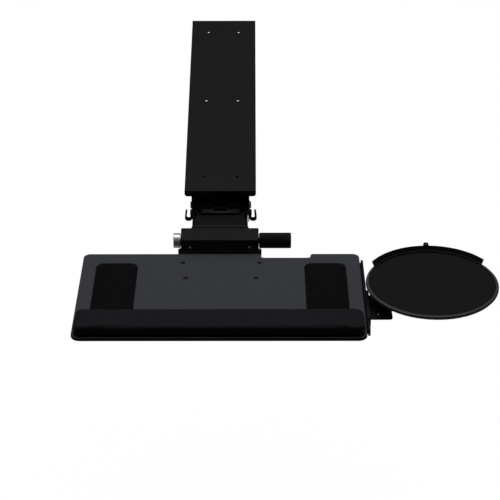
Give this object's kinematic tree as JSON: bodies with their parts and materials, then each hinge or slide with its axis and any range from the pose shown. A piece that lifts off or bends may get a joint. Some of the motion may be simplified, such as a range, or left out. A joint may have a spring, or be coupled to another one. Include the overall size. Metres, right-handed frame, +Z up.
{
  "type": "under-desk keyboard tray",
  "caption": "Keyboard tray on a sliding, swivelling lift arm that hangs from a track under a desk, with a tilt knob, a palm rest and a round mouse platform.",
  "frame": {"origin": "middle of the track's top face, the face screwed to the underside of the desk", "axes": "+X to the user's right, +Y away from the user under the desk along the track, +Z up out of the track's top face"},
  "size_m": [0.7102, 0.9542, 0.1083],
  "materials": {
    "black_steel": "fine black powder coat, satin",
    "black_plastic": "fine-grained moulded plastic",
    "nylon": "natural nylon",
    "zinc_steel": "zinc plated",
    "black_pins": "black oxide",
    "spring_steel": "oiled dark spring steel",
    "polished_cap": "polished and lightly turned",
    "nut_brass": "machined",
    "board_laminate": "dark grey phenolic, very fine stipple",
    "grip_rubber": "matt rubber",
    "rest_cover": "smooth black stretch fabric over foam",
    "pan_plastic": "dark grey moulded plastic with a satin rim",
    "mouse_surface": "fine black cloth-faced pad"
  },
  "bodies": {
    "track": {"track_channel": "black_steel", "track_front_cap": "black_plastic", "track_rear_stop": "black_plastic", "track_bumpers": "grip_rubber"},
    "carriage": {"carriage_plate": "black_steel", "glide_blocks": "nylon", "swivel_bearing": "nylon", "swivel_bolt": "zinc_steel", "swivel_nut": "zinc_steel"},
    "bracket": {"swivel_bracket": "black_steel", "upper_rear_pin": "black_pins", "lower_rear_pin": "black_pins", "pivot_washers": "nylon", "link_spacers": "nylon", "lift_spring_left": "spring_steel", "lift_spring_right": "spring_steel", "cable_hook_left": "black_steel", "cable_hook_right": "black_steel"},
    "lift_arm": {"lift_arm": "black_steel", "arm_sleeve": "black_steel", "arm_bushes": "nylon", "arm_cover": "black_plastic"},
    "lower_link": {"lower_link": "black_steel", "link_sleeve": "zinc_steel", "link_front_pin": "black_pins"},
    "head": {"tube_housing": "black_steel", "housing_screws": "zinc_steel", "housing_end_left": "black_steel", "housing_end_right": "black_steel", "head_yoke": "black_steel", "upper_front_pin": "black_pins", "front_spacer_tube": "zinc_steel", "silver_end_cap": "polished_cap", "knob_bush": "black_plastic"},
    "knob": {"tilt_knob": "black_plastic", "tilt_screw": "zinc_steel"},
    "nut": {"tilt_nut": "nut_brass"},
    "tray": {"tray_bracket": "black_steel", "tilt_rod": "zinc_steel", "tilt_washers": "nylon", "rod_caps": "black_pins", "tilt_lever": "zinc_steel", "board": "board_laminate", "board_screws": "black_pins", "grip_pad_left": "grip_rubber", "grip_pad_right": "grip_rubber", "palm_rest_base": "black_plastic", "palm_rest_pad": "rest_cover", "mouse_rail": "black_steel", "rail_screws": "zinc_steel"},
    "mouse_clip": {"mouse_clip": "black_steel", "clip_rivet": "zinc_steel", "arm_pivot_bolt": "black_pins", "arm_pivot_nut": "zinc_steel"},
    "mouse_arm": {"mouse_arm": "black_steel", "pan_pivot_pin": "black_pins"},
    "mouse_platform": {"mouse_pan": "pan_plastic", "mouse_pad": "mouse_surface", "mouse_guard": "black_plastic", "mouse_cord_clip": "black_plastic"}
  },
  "joints": [
    {"name": "carriage_slide", "type": "slide", "parent": "track", "child": "carriage", "axis": [0, 1, 0], "range_m": [0, 0.31]},
    {"name": "swivel", "type": "hinge", "parent": "carriage", "child": "bracket", "pos_m": [0, -0.229, -0.015], "axis": [0, 0, 1], "range_deg": [-90, 90]},
    {"name": "lift", "type": "hinge", "parent": "bracket", "child": "lift_arm", "pos_m": [0, -0.2525, -0.055], "axis": [1, 0, 0], "range_deg": [-8, 45]},
    {"name": "lower_link_turn", "type": "hinge", "parent": "bracket", "child": "lower_link", "pos_m": [0, -0.251, -0.074], "axis": [1, 0, 0], "range_deg": [-8, 45]},
    {"name": "head_level", "type": "hinge", "parent": "lift_arm", "child": "head", "pos_m": [0, -0.3405, -0.041], "axis": [1, 0, 0], "range_deg": [-45, 8]},
    {"name": "tray_tilt", "type": "hinge", "parent": "head", "child": "tray", "pos_m": [0, -0.3785, -0.0627], "axis": [1, 0, 0], "range_deg": [-4.3, 25.7]},
    {"name": "knob_turn", "type": "hinge", "parent": "head", "child": "knob", "pos_m": [0.098, -0.3705, -0.042], "axis": [1, 0, 0], "range_deg": [-103.5, 617]},
    {"name": "nut_travel", "type": "slide", "parent": "head", "child": "nut", "axis": [1, 0, 0], "range_m": [-0.00116, 0.00687]},
    {"name": "clip_slide", "type": "slide", "parent": "tray", "child": "mouse_clip", "axis": [0, 0.9826, -0.1857], "range_m": [-0.008, 0.1]},
    {"name": "mouse_arm_swing", "type": "hinge", "parent": "mouse_clip", "child": "mouse_arm", "pos_m": [0.2712, -0.5618, -0.0257], "axis": [0, 0.1857, 0.9826], "range_deg": [-40, 60]},
    {"name": "platform_turn", "type": "hinge", "parent": "mouse_arm", "child": "mouse_platform", "pos_m": [0.3604, -0.52914, -0.02576], "axis": [0, 0.1857, 0.9826], "continuous": true}
  ],
  "couplings": [
    {"joint": "lower_link_turn", "follows": "lift", "ratio": 1},
    {"joint": "head_level", "follows": "lift", "ratio": -1},
    {"joint": "knob_turn", "follows": "tray_tilt", "ratio": 24},
    {"joint": "nut_travel", "follows": "tray_tilt", "m_per_rad": 0.015279}
  ]
}
